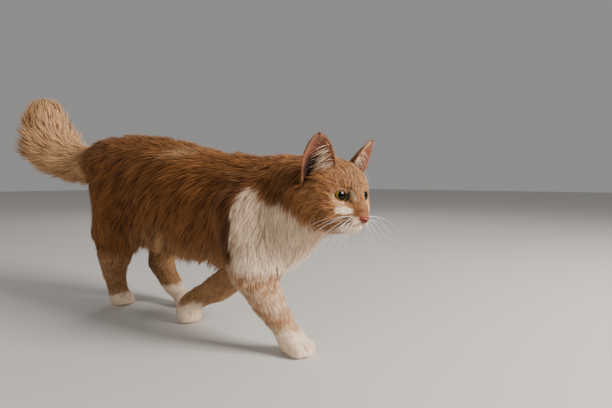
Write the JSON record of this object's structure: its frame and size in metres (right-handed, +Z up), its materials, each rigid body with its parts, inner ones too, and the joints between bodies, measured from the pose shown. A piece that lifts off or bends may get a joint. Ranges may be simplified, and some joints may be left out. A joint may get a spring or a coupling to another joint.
{
  "type": "domestic cat, still life-size model",
  "caption": "Half-longhaired ginger and white cat in mid-walk, head low and forward, bushy tail curled up, standing on its paws.",
  "frame": {"origin": "on the floor under the middle of the cat's box", "axes": "+X the way the cat walks, +Y its left side, +Z up"},
  "size_m": [0.7272, 0.1616, 0.3454],
  "materials": {
    "coat": "soft half-long fur, ginger with darker streaks, cream on shoulder and throat",
    "white_coat": "short white fur",
    "ear": "thin skin, bare pinkish inside, short ginger fur outside",
    "eye": "wet gloss, amber iris with a round black pupil",
    "nose_leather": "fine moist grain"
  },
  "bodies": {
    "root": {"trunk": "coat", "neck": "coat", "head": "coat", "tail_root": "coat", "tail_tip": "coat", "foreleg_right": "coat", "foreleg_left": "coat", "hindleg_right": "coat", "hindleg_left": "coat", "paw_fore_right": "white_coat", "paw_fore_left": "white_coat", "paw_hind_right": "white_coat", "paw_hind_left": "white_coat", "ear_right": "ear", "ear_left": "ear", "eye_right": "eye", "eye_left": "eye", "nose": "nose_leather"}
  },
  "joints": []
}
